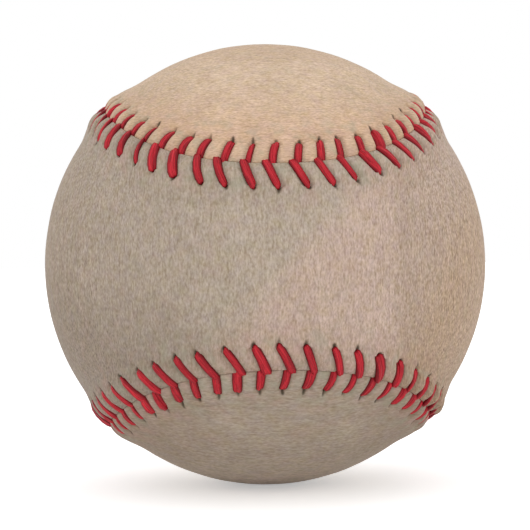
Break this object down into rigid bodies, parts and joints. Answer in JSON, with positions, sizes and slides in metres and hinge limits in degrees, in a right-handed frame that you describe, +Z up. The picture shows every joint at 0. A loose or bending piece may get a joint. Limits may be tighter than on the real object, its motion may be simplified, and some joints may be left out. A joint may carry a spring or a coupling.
{
  "type": "baseball",
  "caption": "Stitched leather ball: two figure-eight cowhide panels sewn with waxed thread over yarn windings, rubber shells and a cork core.",
  "frame": {"origin": "centre of the ball", "axes": "+Y from the front panel's waist through the ball to the back panel's waist, +Z up to the middle of the back panel's upper lobe"},
  "size_m": [0.0744, 0.0746, 0.0744],
  "materials": {
    "cork": "pressed cork, matte",
    "black_rubber": "matte",
    "red_rubber": "matte",
    "cement": "dried film",
    "grey_wool": "wound yarn",
    "white_wool": "wound yarn",
    "white_string": "wound string",
    "front_leather": "worn, soiled and matte",
    "back_leather": "worn, soiled and matte",
    "red_thread": "waxed two-ply thread"
  },
  "bodies": {
    "root": {"cork_core": "cork", "lower_rubber_shell": "black_rubber", "upper_rubber_shell": "black_rubber", "shell_gasket": "red_rubber", "red_rubber_layer": "red_rubber", "core_cement": "cement", "first_wool_winding": "grey_wool", "second_wool_winding": "white_wool", "third_wool_winding": "grey_wool", "string_winding": "white_string", "cover_cement": "cement", "front_panel": "front_leather", "back_panel": "back_leather", "seam_thread": "red_thread"}
  },
  "joints": []
}
